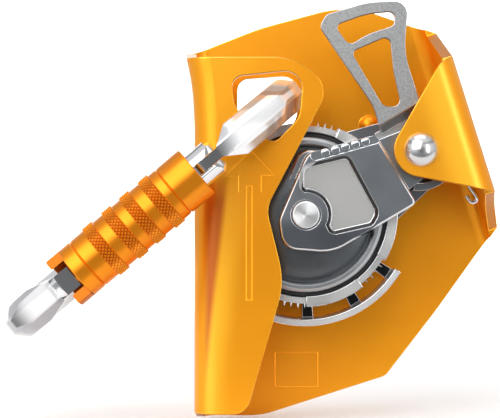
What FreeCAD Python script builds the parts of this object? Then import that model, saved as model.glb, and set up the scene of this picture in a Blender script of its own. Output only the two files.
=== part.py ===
import FreeCAD
import Part
import math
import os

# Mobile fall arrester with its connector, in millimetres.
# X points right, Z up and Y away from the viewer of the front. The origin lies on the
# rope's centreline, level with the locking wheel's axle, midway between the two plates.

os.makedirs("parts", exist_ok=True)

# Frame: one folded sheet
body_width = 90.0
body_height = 117.0
plate = 3.0
inner_gap = 28.0
bend_out = 7.0
rope_offset = 6.6
fold_lean_deg = 17.5
fold_room = 17.12
web_flare = 2.6
hole_x = 12.65
hole_z = 30.7
hole_room = 9.1
stop_radius = 2.9
stop_height = 2.4
overrun = 20.0

# Arm axle and its stack
pivot_room = 11.12
arm_angle_deg = 209.5
axle_radius = 3.0
axle_run_gap = 0.06
rivet_flange = 1.95
rivet_head_height = 3.2
rear_head_height = 2.0
tab_wall = 4.6
washer_wall = 3.0
washer_thickness = 1.0
face_gap = 0.15
eye_wall = 4.0
neck_rise = 0.6
barrel_wall = 2.0
rear_clear = 4.0
rear_arm_thickness = 3.0
rear_arm_eye = 11.0
rear_arm_disc = 20.0

# Front half of the arm
block_clear = 0.6
block_height = 4.0
block_round = 0.9
skirt_height = 1.7
skirt_round = 1.1
neck_radius = 9.0
pocket_depth = 1.7
pocket_slope = 1.1
pin_seat = 1.0
strip_depth = 0.8
strip_width = 2.8
bump_radius = 1.15
hub_clear = 6.3
bridge_radius = 11.5
bridge_wall = 2.2

# Wheel, cover and locking parts
wheel_radius = 26.0
wheel_bite = 3.9
wheel_side_gap = 1.0
rim_wall = 2.4
tooth_height = 1.1
tooth_half_base = 0.34
tooth_row_pitch = 3.0
band_wall = 0.14
land_rise = 1.1
land_clear = 0.4
land_overhang = 0.85
land_lap = 0.2
seal_clear = 0.4
seal_lip = 1.1
seal_thickness = 0.7
cover_seat = 1.6
cover_height = 3.6
ratchet_inset = 0.7
ratchet_ring_wall = 2.6
ratchet_tooth = 1.8
ratchet_web_gap = 0.6
dowel_radius = 0.9
pawl_hub_room = 2.2
pawl_pin_radius = 1.2
pawl_pin_gap = 0.06
pawl_boss = 2.7
pawl_thickness = 3.0
pawl_clear = 0.9
pawl_tip_clear = 0.6
pawl_tip_half = 1.0
pin_extra = 0.5
post_hub_room = 2.4
spring_post_radius = 0.6
pawl_spring_radius = 0.8
web_front = 2.0
web_thickness = 3.5
hub_radius = 5.6
bush_wall = 1.2
pin_head_flange = 0.93
pin_head_gap = 0.42
pin_head_rise = 0.5
pin_head_round = 0.45
guard_rise = 6.1
guard_thickness = 1.9
guard_half = 5.0
strut_lap = 1.0

# Catch lever
lever_reach = 50.0
lever_thickness = 2.0
lever_clear = 0.8
lever_step = 4.0
lever_step_run = 2.2
lever_hub_wall = 2.4
lever_bore_gap = 0.08

# Springs
return_wire = 1.3
return_pitch = 2.2
return_clear = 1.25
leg_clear = 1.1
catch_wire = 0.9
catch_pitch = 1.5
catch_clear = 0.3

# Connector
connector_length = 109.0
connector_lean_deg = 40.2
connector_roll_deg = 1.6
stock_width = 10.9
stock_depth = 10.0
ring_depth = 53.0
ring_shift = -0.5
gate_radius = 5.3
gate_floor = 6.0
hinge_s = 18.8
seat_gap = 0.4
leg_gap = 0.9
flare_length = 6.0
nose_flare_length = 9.0
key_height = 7.4
nose_width = 6.4
nose_height = 6.4
nose_drop = 0.8
tongue_width = 3.0
tongue_gap = 0.15
ear_room = 1.1
gate_rivet_radius = 1.5
gate_rivet_inset = 0.3
plunger_radius = 2.6
plunger_length = 7.0
spring_clear = 0.3
gate_spring_wall = 0.9
recess_depth = 1.4
recess_half = 10.0
sleeve_wall = 1.1
sleeve_top = 16.3
sleeve_low = -27.1
sleeve_leg = 4.5
sleeve_gap = 0.15
sleeve_edge = 0.25
notch_front = 3.0
notch_turn_deg = 10.0
guide_width = 4.0
guide_gap = 0.08
grip_width = 3.6
grip_rise = 0.6
groove_depth = 0.35

# Limits used when lines and edges are picked, and how finely a coil is measured
touching = 1e-6
picking = 0.03
corner_limit_share = 0.49
samples_per_quarter = 8


def vec(x, y, z):
    return FreeCAD.Vector(x, y, z)


# Places worked out from the sizes above: depths are measured from the middle plane
half_gap = inner_gap / 2
outer_half = half_gap + plate
y_bend = outer_half - bend_out
block_back = half_gap - block_clear - block_height
rear_arm_front = half_gap - rear_clear - rear_arm_thickness
rear_arm_back = rear_arm_front + rear_arm_thickness
cover_back = block_back - cover_seat
ratchet_front = cover_back - seal_thickness
ratchet_back = web_front + ratchet_web_gap
pawl_front = ratchet_front - pawl_clear
pawl_back = pawl_front - pawl_thickness
web_back = web_thickness - web_front
wheel_half = rear_arm_front - wheel_side_gap
rim_front = block_back - land_clear - land_rise
lever_front = half_gap - lever_clear
lever_hub_front = lever_front - lever_step

# Radii about the arm's axle and about the wheel
rivet_head_radius = axle_radius + rivet_flange
tab_radius = axle_radius + tab_wall
washer_radius = axle_radius + washer_wall
eye_radius = axle_radius + eye_wall
barrel_radius = axle_radius + barrel_wall
lever_hub_radius = barrel_radius + lever_hub_wall
tread_radius = wheel_radius - tooth_height / 2
rim_inner = wheel_radius - rim_wall
seal_radius = rim_inner - seal_clear
cover_radius = seal_radius - seal_lip
ratchet_outer = cover_radius - ratchet_inset
ratchet_root = ratchet_outer - ratchet_ring_wall
ratchet_tip = ratchet_root - ratchet_tooth
pawl_tip_radius = ratchet_tip - pawl_tip_clear
pin_head_radius = axle_radius + pin_head_flange
guard_radius = wheel_radius + guard_rise
pawl_reach = hub_radius + pawl_hub_room + pawl_boss
post_reach = hub_radius + post_hub_room + spring_post_radius

# Centres
arm_length = wheel_radius + pivot_room
wheel_x = wheel_radius - wheel_bite
pivot_x = wheel_x - arm_length * math.cos(math.radians(arm_angle_deg))
pivot_z = -arm_length * math.sin(math.radians(arm_angle_deg))
ORIGIN = vec(0, 0, 0)
ALONG_X = vec(1, 0, 0)
ALONG_Y = vec(0, 1, 0)
ALONG_Z = vec(0, 0, 1)
PIVOT = vec(pivot_x, 0, pivot_z)
fold_lean = math.radians(fold_lean_deg)
pivot_reach = pivot_x * math.cos(fold_lean) + pivot_z * math.sin(fold_lean)
fold_reach = pivot_reach + fold_room
WHEEL = vec(wheel_x, 0, 0)


def place(centre, y):
    return vec(centre.x, y, centre.z)


def corner_arc(before, at, after, radius):
    """The two ends and the middle of the arc that rounds one corner."""
    back = before - at
    ahead = after - at
    limit = min(back.Length, ahead.Length) * corner_limit_share
    back.normalize()
    ahead.normalize()
    half = back.getAngle(ahead) / 2
    run = min(radius / math.tan(half), limit)
    real = run * math.tan(half)
    middle = back + ahead
    middle.normalize()
    return at + back * run, at + middle * (real / math.sin(half) - real), at + ahead * run


def outline(points):
    """A closed wire through (x, z, radius) corners, in the plane y = 0."""
    corners = [vec(x, 0, z) for x, z, radius in points]
    ends = []
    for i, (x, z, radius) in enumerate(points):
        before, after = corners[i - 1], corners[(i + 1) % len(corners)]
        if radius > 0:
            ends.append(corner_arc(before, corners[i], after, radius))
        else:
            ends.append((corners[i], None, corners[i]))
    edges = []
    for i, (start, middle, end) in enumerate(ends):
        if middle is not None:
            edges.append(Part.Arc(start, middle, end).toShape())
        following = ends[(i + 1) % len(ends)][0]
        if (following - end).Length > touching:
            edges.append(Part.LineSegment(end, following).toShape())
    return Part.Wire(edges)


def slab(points, y_front, y_back):
    """A plate with the given outline between two depths."""
    solid = Part.Face(outline(points)).extrude(vec(0, y_back - y_front, 0))
    solid.translate(vec(0, y_front, 0))
    return solid


def from_shares(table, width, height, x=0.0, z=0.0):
    """Corners in millimetres from shares of a width and a height."""
    return [(x + sx * width, z + sz * height, sr * height) for sx, sz, sr in table]


def disc(centre, radius, y_front, y_back):
    return Part.makeCylinder(radius, y_back - y_front, place(centre, y_front), ALONG_Y)


def tube(centre, outer, inner, y_front, y_back):
    return disc(centre, outer, y_front, y_back).cut(disc(centre, inner, y_front, y_back))


def fused(shapes):
    whole = shapes[0]
    for shape in shapes[1:]:
        whole = whole.fuse(shape)
    return whole.removeSplitter()


def cut_all(shape, tools):
    for tool in tools:
        shape = shape.cut(tool)
    return shape


def polar(centre, radius, angle_deg):
    turn = math.radians(angle_deg)
    return vec(centre.x + radius * math.cos(turn), centre.y, centre.z + radius * math.sin(turn))


def sector(centre, radius, from_deg, to_deg, y_front, y_back):
    """A pie slice, used to cut rings into lands and bands."""
    start = polar(centre, radius, from_deg)
    middle = polar(centre, radius, (from_deg + to_deg) / 2)
    end = polar(centre, radius, to_deg)
    edges = [
        Part.LineSegment(place(centre, 0), place(start, 0)).toShape(),
        Part.Arc(place(start, 0), place(middle, 0), place(end, 0)).toShape(),
        Part.LineSegment(place(end, 0), place(centre, 0)).toShape(),
    ]
    solid = Part.Face(Part.Wire(edges)).extrude(vec(0, y_back - y_front, 0))
    solid.translate(vec(0, y_front, 0))
    return solid


def arc_band(centre, outer, inner, from_deg, to_deg, y_front, y_back):
    ring = tube(centre, outer, inner, y_front, y_back)
    return ring.common(sector(centre, outer * 2, from_deg, to_deg, y_front, y_back))


def link(centre_a, radius_a, centre_b, radius_b, y_front, y_back):
    """Two round ends joined by their outer tangents."""
    gap = centre_b - centre_a
    lean = math.atan2(gap.z, gap.x)
    open_angle = math.acos((radius_a - radius_b) / gap.Length)
    points = []
    for centre, radius, side in ((centre_a, radius_a, 1), (centre_b, radius_b, 1),
                                 (centre_b, radius_b, -1), (centre_a, radius_a, -1)):
        turn = math.degrees(lean + side * open_angle)
        touch = polar(centre, radius, turn)
        points.append((touch.x, touch.z, 0))
    middle = slab(points, y_front, y_back)
    return fused([middle, disc(centre_a, radius_a, y_front, y_back),
                  disc(centre_b, radius_b, y_front, y_back)])


def revolved(profile, centre):
    """A solid of revolution about the Y axis through centre, from (radius, y) points."""
    points = [vec(centre.x + r, y, centre.z) for r, y in profile]
    points.append(points[0])
    face = Part.Face(Part.makePolygon(points))
    return face.revolve(place(centre, 0), ALONG_Y, 360)


def dome(centre, radius, height, y_base, outward):
    """A low domed head on a flat base; outward is -1 to the front, 1 to the back."""
    sphere_radius = (radius ** 2 + height ** 2) / (2 * height)
    middle = place(centre, y_base - outward * (sphere_radius - height))
    ball = Part.makeSphere(sphere_radius, middle)
    y_tip = y_base + outward * height
    slice_of = disc(centre, radius, min(y_base, y_tip), max(y_base, y_tip))
    return ball.common(slice_of)


# Frame

front_flange_shares = [
    (-0.220, 0.379, 0.0), (0.206, 0.379, 0.150), (0.320, 0.309, 0.060), (0.121, 0.015, 0.070),
    (0.178, -0.162, 0.205), (0.058, -0.480, 0.043), (-0.220, -0.481, 0.0)]
back_plate_shares = [
    (-0.222, 0.374, 0.0), (0.100, 0.472, 0.60), (0.394, 0.533, 0.26), (0.850, 0.411, 0.0),
    (1.020, 0.117, 0.0), (0.689, -0.239, 1.0), (0.517, -0.410, 0.035), (0.106, -0.511, 0.21),
    (-0.222, -0.509, 0.0)]
front_hole_shares = [
    (-0.593, 0.405, 0.170), (0.440, 0.515, 0.245), (0.378, -0.170, 0.300), (0.0, -0.558, 0.145),
    (-0.538, -0.020, 0.350)]
back_hole_shares = [
    (-0.502, 0.468, 0.170), (0.438, 0.535, 0.245), (0.368, -0.138, 0.300), (-0.070, -0.606, 0.200),
    (-0.510, -0.170, 0.200)]
left_web_shares = [(0.379, -1.0), (0.405, 1.0), (-0.509, 1.0), (-0.481, -1.0)]
right_web_shares = [
    (0.205, -1.0), (0.278, 1.0), (-0.236, 1.0), (-0.205, 0.5), (-0.176, 0.0), (-0.154, -0.6), (-0.141, -1.0)]
web_steps_shares = [(-0.62, 0.0), (0.21, 0.0), (0.28, 0.16), (0.33, 0.43), (0.38, 0.90), (0.56, 2.2)]
tab_edge_deg = 60.0
tab_foot_deg = -10.8
tab_top_share = 0.385
stop_x_share = 0.462
stop_z_share = 0.226


def fold_section(offset, height):
    """The U of the left fold at one height: back leg, web and front leg."""
    outer_x = -(rope_offset + plate) - offset
    inner_x = outer_x + plate
    leg_x = outer_x + bend_out
    mean = bend_out * math.sqrt(0.5)
    small = bend_out - plate
    small_mean = small * math.sqrt(0.5)
    far = leg_x + bend_out

    def at(x, y):
        return vec(x, y, height)

    edges = []
    for side in (1, -1):
        y_out = side * outer_half
        y_in = side * half_gap
        y_mid = side * y_bend
        edges += [
            Part.LineSegment(at(far, y_in), at(far, y_out)).toShape(),
            Part.LineSegment(at(far, y_out), at(leg_x, y_out)).toShape(),
            Part.Arc(at(leg_x, y_out), at(leg_x - mean, y_mid + side * mean), at(outer_x, y_mid)).toShape(),
            Part.Arc(at(inner_x, y_mid), at(leg_x - small_mean, y_mid + side * small_mean),
                     at(leg_x, y_in)).toShape(),
            Part.LineSegment(at(leg_x, y_in), at(far, y_in)).toShape()]
    edges.append(Part.LineSegment(at(outer_x, y_bend), at(outer_x, -y_bend)).toShape())
    edges.append(Part.LineSegment(at(inner_x, y_bend), at(inner_x, -y_bend)).toShape())
    return Part.Wire(Part.__sortEdges__(edges))


def left_fold():
    wires = [fold_section(flare * web_flare, height * body_height) for height, flare in web_steps_shares]
    straight = Part.makeLoft(wires[:2], True, True)
    flared = Part.makeLoft(wires[1:], True, False)
    return straight.fuse(flared)


def right_fold():
    """The slanted U, drawn upright and then turned onto its fold line."""
    near = fold_reach - 2 * bend_out
    length = 2 * body_height
    block = Part.makeBox(fold_reach - near, 2 * outer_half, length, vec(near, -outer_half, -length / 2))
    edges = [edge for edge in block.Edges if abs(edge.BoundBox.ZLength - length) < picking
             and abs(edge.BoundBox.Center.x - fold_reach) < picking]
    block = block.makeFillet(bend_out, edges)
    hollow_width = fold_reach - plate - near
    hollow = Part.makeBox(hollow_width + overrun, 2 * half_gap, length,
                          vec(near - overrun, -half_gap, -length / 2))
    edges = [edge for edge in hollow.Edges if abs(edge.BoundBox.ZLength - length) < picking
             and edge.BoundBox.Center.x > near]
    hollow = hollow.makeFillet(bend_out - plate, edges)
    channel = block.cut(hollow)
    channel.rotate(ORIGIN, ALONG_Y, -fold_lean_deg)
    return channel


def tab_points():
    """The tab's outline: two edges tangent to the round end about the axle."""
    edge = math.radians(tab_edge_deg)
    foot = math.radians(tab_foot_deg)
    on_edge = polar(PIVOT, tab_radius, tab_edge_deg + 90)
    on_foot = polar(PIVOT, tab_radius, tab_foot_deg - 90)
    edge_way = vec(math.cos(edge), 0, math.sin(edge))
    foot_way = vec(math.cos(foot), 0, math.sin(foot))
    gap = on_foot - on_edge
    spread = edge_way.x * foot_way.z - edge_way.z * foot_way.x
    heel = on_edge + edge_way * ((gap.x * foot_way.z - gap.z * foot_way.x) / spread)
    top_z = tab_top_share * body_height
    top = heel + edge_way * ((top_z - heel.z) / edge_way.z)
    far = heel + foot_way * body_width
    return [(heel.x, heel.z, tab_radius), (top.x, top.z, tab_radius), (far.x, top.z + plate, 0),
            (far.x, far.z, 0)]


def web_prism(shares, x_from, x_to):
    """Trims a web: its outline is seen from the side, as (height, depth) shares."""
    points = [vec(x_from, depth * y_bend, height * body_height) for height, depth in shares]
    points.append(points[0])
    return Part.Face(Part.makePolygon(points)).extrude(vec(x_to - x_from, 0, 0))


def region(x_from, y_from, depth):
    """A block wider and taller than the frame, used to keep one stretch of the sheet."""
    return Part.makeBox(2 * body_width, depth, 4 * body_height, vec(x_from, y_from, -2 * body_height))


def frame_shell():
    """The folded sheet with its hole pair, axle holes and embossed stop."""
    back_cut = slab(from_shares(back_plate_shares, body_width, body_height), y_bend, outer_half + plate)
    flange_points = from_shares(front_flange_shares, body_width, body_height)
    flange_cut = slab(flange_points, -outer_half - plate, -y_bend)
    tab_cut = slab(tab_points(), -outer_half - plate, -y_bend)

    left_cut = web_prism(left_web_shares, -rope_offset - overrun, -rope_offset + bend_out)
    left = left_fold()
    left = fused([left.common(back_cut), left.common(flange_cut), left.common(left_cut)])

    right_cut = web_prism(right_web_shares, fold_reach - bend_out, fold_reach + bend_out)
    right_cut.rotate(ORIGIN, ALONG_Y, -fold_lean_deg)
    right = right_fold()
    right = fused([right.common(back_cut), right.common(tab_cut), right.common(right_cut)])

    keep_left = region(-rope_offset - plate + bend_out, -outer_half, 2 * outer_half)
    keep_right = region(fold_reach - bend_out - 2 * body_width, -outer_half, 2 * outer_half)
    keep_right.rotate(ORIGIN, ALONG_Y, -fold_lean_deg)
    back_layer = region(-body_width, half_gap, plate)
    front_layer = region(-body_width, -outer_half, plate)
    sheet = back_cut.common(back_layer).common(keep_left).common(keep_right)
    flange = flange_cut.common(front_layer).common(keep_left)
    tab = tab_cut.common(front_layer).common(keep_right)

    shell = fused([sheet, left, right, flange, tab])
    hole_size = stock_width + hole_room
    front_points = from_shares(front_hole_shares, hole_size, hole_size, hole_x, hole_z)
    back_points = from_shares(back_hole_shares, hole_size, hole_size, hole_x, hole_z)
    front_hole = slab(front_points, -outer_half - plate, 0)
    back_hole = slab(back_points, 0, outer_half + plate)
    axle_hole = disc(PIVOT, axle_radius, -outer_half - plate, outer_half + plate)
    shell = cut_all(shell, [front_hole, back_hole, axle_hole])
    stop = vec(stop_x_share * body_width, 0, stop_z_share * body_height)
    shell = shell.fuse(dome(stop, stop_radius, stop_height, half_gap, -1))
    return shell.cut(dome(stop, stop_radius, stop_height, outer_half, -1)).removeSplitter()


def arm_axle():
    """The riveted axle: domed head at the tab, low head behind the back plate."""
    shank = disc(PIVOT, axle_radius, -outer_half, outer_half)
    front = dome(PIVOT, rivet_head_radius, rivet_head_height, -outer_half, -1)
    rear = dome(PIVOT, rivet_head_radius, rear_head_height, outer_half, 1)
    return fused([shank, front, rear])


def front_washer():
    return tube(PIVOT, washer_radius, axle_radius, -half_gap, -half_gap + washer_thickness)


def rear_spacer():
    return tube(PIVOT, washer_radius, axle_radius, rear_arm_back + face_gap, half_gap)


# Arm

block_shares = [
    (0.534, 0.609, 0.035), (0.005, 0.466, 0.085), (-0.213, -0.040, 0.14), (-0.180, -0.262, 0.16),
    (0.205, -0.292, 0.36), (0.850, 0.088, 0.045)]
pocket_shares = [
    (-0.046, 0.375, 0.09), (0.326, 0.463, 0.07), (0.568, 0.016, 0.12), (0.510, -0.086, 0.07),
    (0.186, -0.160, 0.06), (0.092, 0.054, 0.0), (-0.046, 0.202, 0.04)]
skirt_shares = [
    (-0.050, 0.506, 0.128), (-0.274, -0.030, 0.183), (-0.240, -0.266, 0.203), (0.156, -0.298, 0.403),
    (0.560, -0.100, 0.073), (0.450, 0.500, 0.073)]
strip_from_share = (0.073, 0.450)
strip_to_share = (0.531, 0.579)
strip_bumps = 5
bridge_from_deg = -98.0
bridge_to_deg = -50.0
neck_share = 0.62
strut_deg = [-112.0, -88.0, -60.0, -35.0]
strut_half_deg = 3.2


def block_outline():
    return from_shares(block_shares, arm_length, arm_length, WHEEL.x, WHEEL.z)


def on_arm(share):
    return vec(WHEEL.x + share[0] * arm_length, 0, WHEEL.z + share[1] * arm_length)


def grip_strip(y_front, y_back):
    """The rounded slot in the arm's top edge."""
    half = strip_width / 2
    return link(on_arm(strip_from_share), half, on_arm(strip_to_share), half, y_front, y_back)


def strip_ribs(y_front, y_back):
    """The round ribs that stand in the slot."""
    start = on_arm(strip_from_share)
    run = on_arm(strip_to_share) - start
    ribs = [disc(start + run * ((i + 1) / (strip_bumps + 1)), bump_radius, y_front, y_back)
            for i in range(strip_bumps)]
    return Part.makeCompound(ribs)


def arm_skirt():
    """The lower step round the block, with a rounded shoulder."""
    y_front = -block_back - skirt_height
    skirt = slab(from_shares(skirt_shares, arm_length, arm_length, WHEEL.x, WHEEL.z), y_front, -block_back)
    rim = [edge for edge in skirt.Edges if abs(edge.BoundBox.YMin - y_front) < picking
           and edge.BoundBox.YLength < picking]
    return skirt.makeFillet(skirt_round, rim)


def arm_pocket(y_face):
    """The recess in the block's face: sloped walls, and a bay left round the pin."""
    y_floor = y_face + pocket_depth
    recess = slab(from_shares(pocket_shares, arm_length, arm_length, WHEEL.x, WHEEL.z),
                  y_face - overrun, y_floor)
    recess = recess.cut(disc(WHEEL, hub_clear, y_face - overrun, y_face + overrun))
    rim = [edge for edge in recess.Edges if abs(edge.BoundBox.YMax - y_floor) < picking
           and edge.BoundBox.YLength < picking]
    return recess.makeChamfer(pocket_slope, rim)


def arm_front():
    """Front half: raised block with a pocket, its skirt, and the eye under the tab."""
    y_face = -block_back - block_height
    block = slab(block_outline(), y_face, -block_back)
    rim = [edge for edge in block.Edges if abs(edge.BoundBox.YMin - y_face) < picking
           and edge.BoundBox.YLength < picking]
    block = block.makeFillet(block_round, rim)
    neck_centre = WHEEL + (PIVOT - WHEEL) * neck_share
    y_eye = -half_gap + washer_thickness + face_gap
    neck = link(neck_centre, neck_radius, PIVOT, eye_radius, y_eye + neck_rise, -block_back)
    eye = disc(PIVOT, eye_radius, y_eye, -block_back)
    body = fused([block, arm_skirt(), neck, eye])
    pocket = arm_pocket(y_face)
    strip = grip_strip(y_face - overrun, y_face + strip_depth)
    tools = [
        pocket, strip.cut(strip_ribs(y_face, y_face + strip_depth)),
        disc(WHEEL, axle_radius, y_face - overrun, 0),
        disc(WHEEL, pin_head_radius + pin_head_gap, y_face - overrun, y_face + pin_seat),
        disc(PIVOT, axle_radius + axle_run_gap, -outer_half, 0)]
    return cut_all(body, tools)


def arm_rear():
    """Rear half: a forged plate behind the wheel, with the struts that carry the guard."""
    struts = [arc_band(WHEEL, guard_radius - guard_thickness, rear_arm_disc - strut_lap,
                       angle - strut_half_deg, angle + strut_half_deg, rear_arm_front, rear_arm_back)
              for angle in strut_deg]
    body = fused([link(WHEEL, rear_arm_disc, PIVOT, rear_arm_eye, rear_arm_front, rear_arm_back)] + struts)
    tools = [disc(WHEEL, axle_radius, rear_arm_front, rear_arm_back),
             disc(PIVOT, axle_radius + axle_run_gap, rear_arm_front, rear_arm_back)]
    return cut_all(body, tools)


def pivot_barrel():
    """The tube that spaces the arm's halves and turns on the axle."""
    return tube(PIVOT, barrel_radius, axle_radius + axle_run_gap, -block_back, rear_arm_front)


def arm_bridge():
    """The curved wall that ties the arm's halves below the axle."""
    return arc_band(PIVOT, bridge_radius, bridge_radius - bridge_wall, bridge_from_deg, bridge_to_deg,
                    -block_back, rear_arm_front)


def wheel_axle():
    """The wheel's pin, its head sunk in the arm's face, riveted at the back."""
    y_face = -block_back - block_height
    y_seat = y_face + pin_seat
    y_top = y_face - pin_head_rise
    shank = disc(WHEEL, axle_radius, y_seat, rear_arm_back)
    head = disc(WHEEL, pin_head_radius, y_top, y_seat)
    rim = [edge for edge in head.Edges if abs(edge.BoundBox.YMax - y_top) < picking]
    head = head.makeFillet(pin_head_round, rim)
    rear = dome(WHEEL, rivet_head_radius, rear_head_height, rear_arm_back, 1)
    return fused([shank, head, rear])


# Cover, seal and ratchet

cover_profile_shares = [
    (0.978, 0.0), (1.0, 0.10), (1.0, 0.62), (0.985, 0.86), (0.955, 1.0), (0.915, 1.0), (0.885, 0.84),
    (0.870, 0.52), (0.840, 0.50), (0.70, 0.72), (0.55, 0.88), (0.38, 0.98)]
ratchet_teeth = 12
ratchet_gap_share = 0.60
ratchet_gap_start_share = 0.70
dowel_count = 4


def hub_cover():
    """Domed cover with a raised rim; the arm's block and skirt sit in it."""
    profile = [(cover_radius * r, -cover_back - cover_height * y) for r, y in cover_profile_shares]
    profile = [(axle_radius, -cover_back)] + profile + [(axle_radius, -cover_back - cover_height)]
    body = revolved(profile, WHEEL)
    seat = slab(block_outline(), -block_back - 2 * block_height, -block_back)
    return cut_all(body, [seat, arm_front()] + dowels())


def cover_seal():
    ring = tube(WHEEL, seal_radius, ratchet_root, -cover_back, -cover_back + seal_thickness)
    return cut_all(ring, dowels())


def thrust_washer():
    return tube(WHEEL, hub_radius, axle_radius, -cover_back, -wheel_half - face_gap)


def ratchet_ring():
    """The fixed ring of inner teeth that the pawls catch in."""
    ring = tube(WHEEL, ratchet_outer, ratchet_tip, -ratchet_front, -ratchet_back)
    pitch = 360 / ratchet_teeth
    gaps = []
    for i in range(ratchet_teeth):
        start = (i + ratchet_gap_start_share) * pitch
        gaps.append(sector(WHEEL, ratchet_root, start, start + ratchet_gap_share * pitch,
                           -ratchet_front, -ratchet_back))
    return cut_all(ring, gaps + dowels())


def dowels():
    pins = []
    for i in range(dowel_count):
        centre = polar(WHEEL, (ratchet_root + ratchet_outer) / 2, (i + 0.5) * 360 / dowel_count)
        pins.append(disc(centre, dowel_radius, -cover_back - seal_thickness, -ratchet_back - face_gap))
    return pins


def cover_dowels():
    """Four pins that hold the ratchet ring to the cover, through the seal."""
    return Part.makeCompound(dowels())


# Wheel

land_count = 6
land_start_deg = -10.5
land_span_deg = 38.0
tooth_groups = 6
teeth_in_group = 6
tooth_rows = 3
pawl_angles_deg = [0.0, 180.0]


def lands():
    """The raised lands round the rim's front edge."""
    step = 360 / land_count
    middles = [land_start_deg + step * i for i in range(land_count)]
    return [arc_band(WHEEL, tread_radius + land_overhang, rim_inner - land_lap,
                     middle - land_span_deg / 2, middle + land_span_deg / 2,
                     -rim_front - land_rise, -rim_front) for middle in middles]


def wheel_rim():
    """The wheel: hub, web and rim with six raised lands at its front edge."""
    profile = [
        (hub_radius - bush_wall, -wheel_half), (hub_radius, -wheel_half), (hub_radius, -web_front),
        (rim_inner, -web_front), (rim_inner, -rim_front), (tread_radius, -rim_front),
        (tread_radius, wheel_half), (rim_inner, wheel_half), (rim_inner, web_back),
        (hub_radius, web_back), (hub_radius, wheel_half), (hub_radius - bush_wall, wheel_half)]
    body = fused([revolved(profile, WHEEL)] + lands())
    holes = [disc(polar(WHEEL, pawl_reach, angle), pawl_pin_radius, -web_front, wheel_half)
             for angle in pawl_angles_deg]
    return cut_all(body, holes)


def tooth(angle_deg, y):
    """One needle-like tooth: a slim pyramid that stands out of the tread."""
    root = tread_radius - band_wall
    half_turn = math.degrees(tooth_half_base / tread_radius)
    base = []
    for turn, shift in ((-1, -1), (1, -1), (1, 1), (-1, 1)):
        point = polar(WHEEL, root, angle_deg + turn * half_turn)
        base.append(vec(point.x, y + shift * tooth_half_base, point.z))
    tip = place(polar(WHEEL, wheel_radius + tooth_height, angle_deg), y)
    faces = [Part.Face(Part.makePolygon(base + [base[0]]))]
    for i in range(4):
        faces.append(Part.Face(Part.makePolygon([base[i], base[(i + 1) % 4], tip, base[i]])))
    return Part.makeSolid(Part.makeShell(faces))


def toothed_band():
    """The band round the wheel with groups of needles that grip the rope."""
    half = wheel_half - rim_wall / 2
    band = tube(WHEEL, tread_radius + band_wall, tread_radius, -half, half)
    teeth = []
    pitch = 360 / tooth_groups / (teeth_in_group + 1)
    for group in range(tooth_groups):
        for i in range(teeth_in_group):
            angle = group * 360 / tooth_groups + i * pitch
            for row in range(tooth_rows):
                y = (row - (tooth_rows - 1) / 2) * tooth_row_pitch
                teeth.append(tooth(angle + (row % 2) * pitch / 2, y))
    band = band.fuse(teeth)
    return band.cut(disc(WHEEL, tread_radius, -wheel_half, wheel_half))


def wheel_bush():
    return tube(WHEEL, hub_radius - bush_wall, axle_radius + axle_run_gap, -wheel_half, wheel_half)


# Pawls

pawl_tip_deg = 38.0
pawl_hook_deg = 34.0
spring_post_deg = 62.0
spring_reach_share = 0.6


def pawl(angle_deg):
    """A centrifugal pawl: an eye on its pin and an arm that ends in a tooth."""
    pin = polar(WHEEL, pawl_reach, angle_deg)
    tip = polar(WHEEL, pawl_tip_radius - pawl_tip_half, angle_deg + pawl_tip_deg)
    corner = polar(WHEEL, pawl_tip_radius, angle_deg + pawl_tip_deg)
    body = link(pin, pawl_boss, tip, pawl_tip_half, -pawl_front, -pawl_back)
    beak = link(tip, pawl_tip_half, corner, pawl_tip_half / 2, -pawl_front, -pawl_back)
    body = fused([body, beak])
    return body.cut(disc(pin, pawl_pin_radius + pawl_pin_gap, -outer_half, outer_half))


def pawl_a():
    return pawl(pawl_angles_deg[0])


def pawl_b():
    return pawl(pawl_angles_deg[1])


def pawl_pins():
    pins = [disc(polar(WHEEL, pawl_reach, angle), pawl_pin_radius, -pawl_front - pin_extra, web_back)
            for angle in pawl_angles_deg]
    return Part.makeCompound(pins)


def pawl_springs():
    """Two small springs that hold the pawls in until the wheel runs fast."""
    y = -(pawl_front + pawl_back) / 2
    springs = []
    for angle in pawl_angles_deg:
        post = polar(WHEEL, post_reach, angle + spring_post_deg)
        way = polar(WHEEL, pawl_reach, angle + pawl_hook_deg) - post
        springs.append(Part.makeCylinder(pawl_spring_radius, way.Length * spring_reach_share,
                                         place(post, y), way))
    return Part.makeCompound(springs)


def spring_posts():
    y = -(pawl_front + pawl_back) / 2
    posts = [disc(polar(WHEEL, post_reach, angle + spring_post_deg), spring_post_radius,
                  y + pawl_spring_radius, -web_front) for angle in pawl_angles_deg]
    return Part.makeCompound(posts)


# Guard

guard_from_deg = -122.0
guard_to_deg = -31.0


def wheel_guard():
    """The bent strip below the wheel, carried by the struts of the arm's rear half."""
    return arc_band(WHEEL, guard_radius, guard_radius - guard_thickness, guard_from_deg, guard_to_deg,
                    -guard_half, rear_arm_back)


# Catch lever

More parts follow.
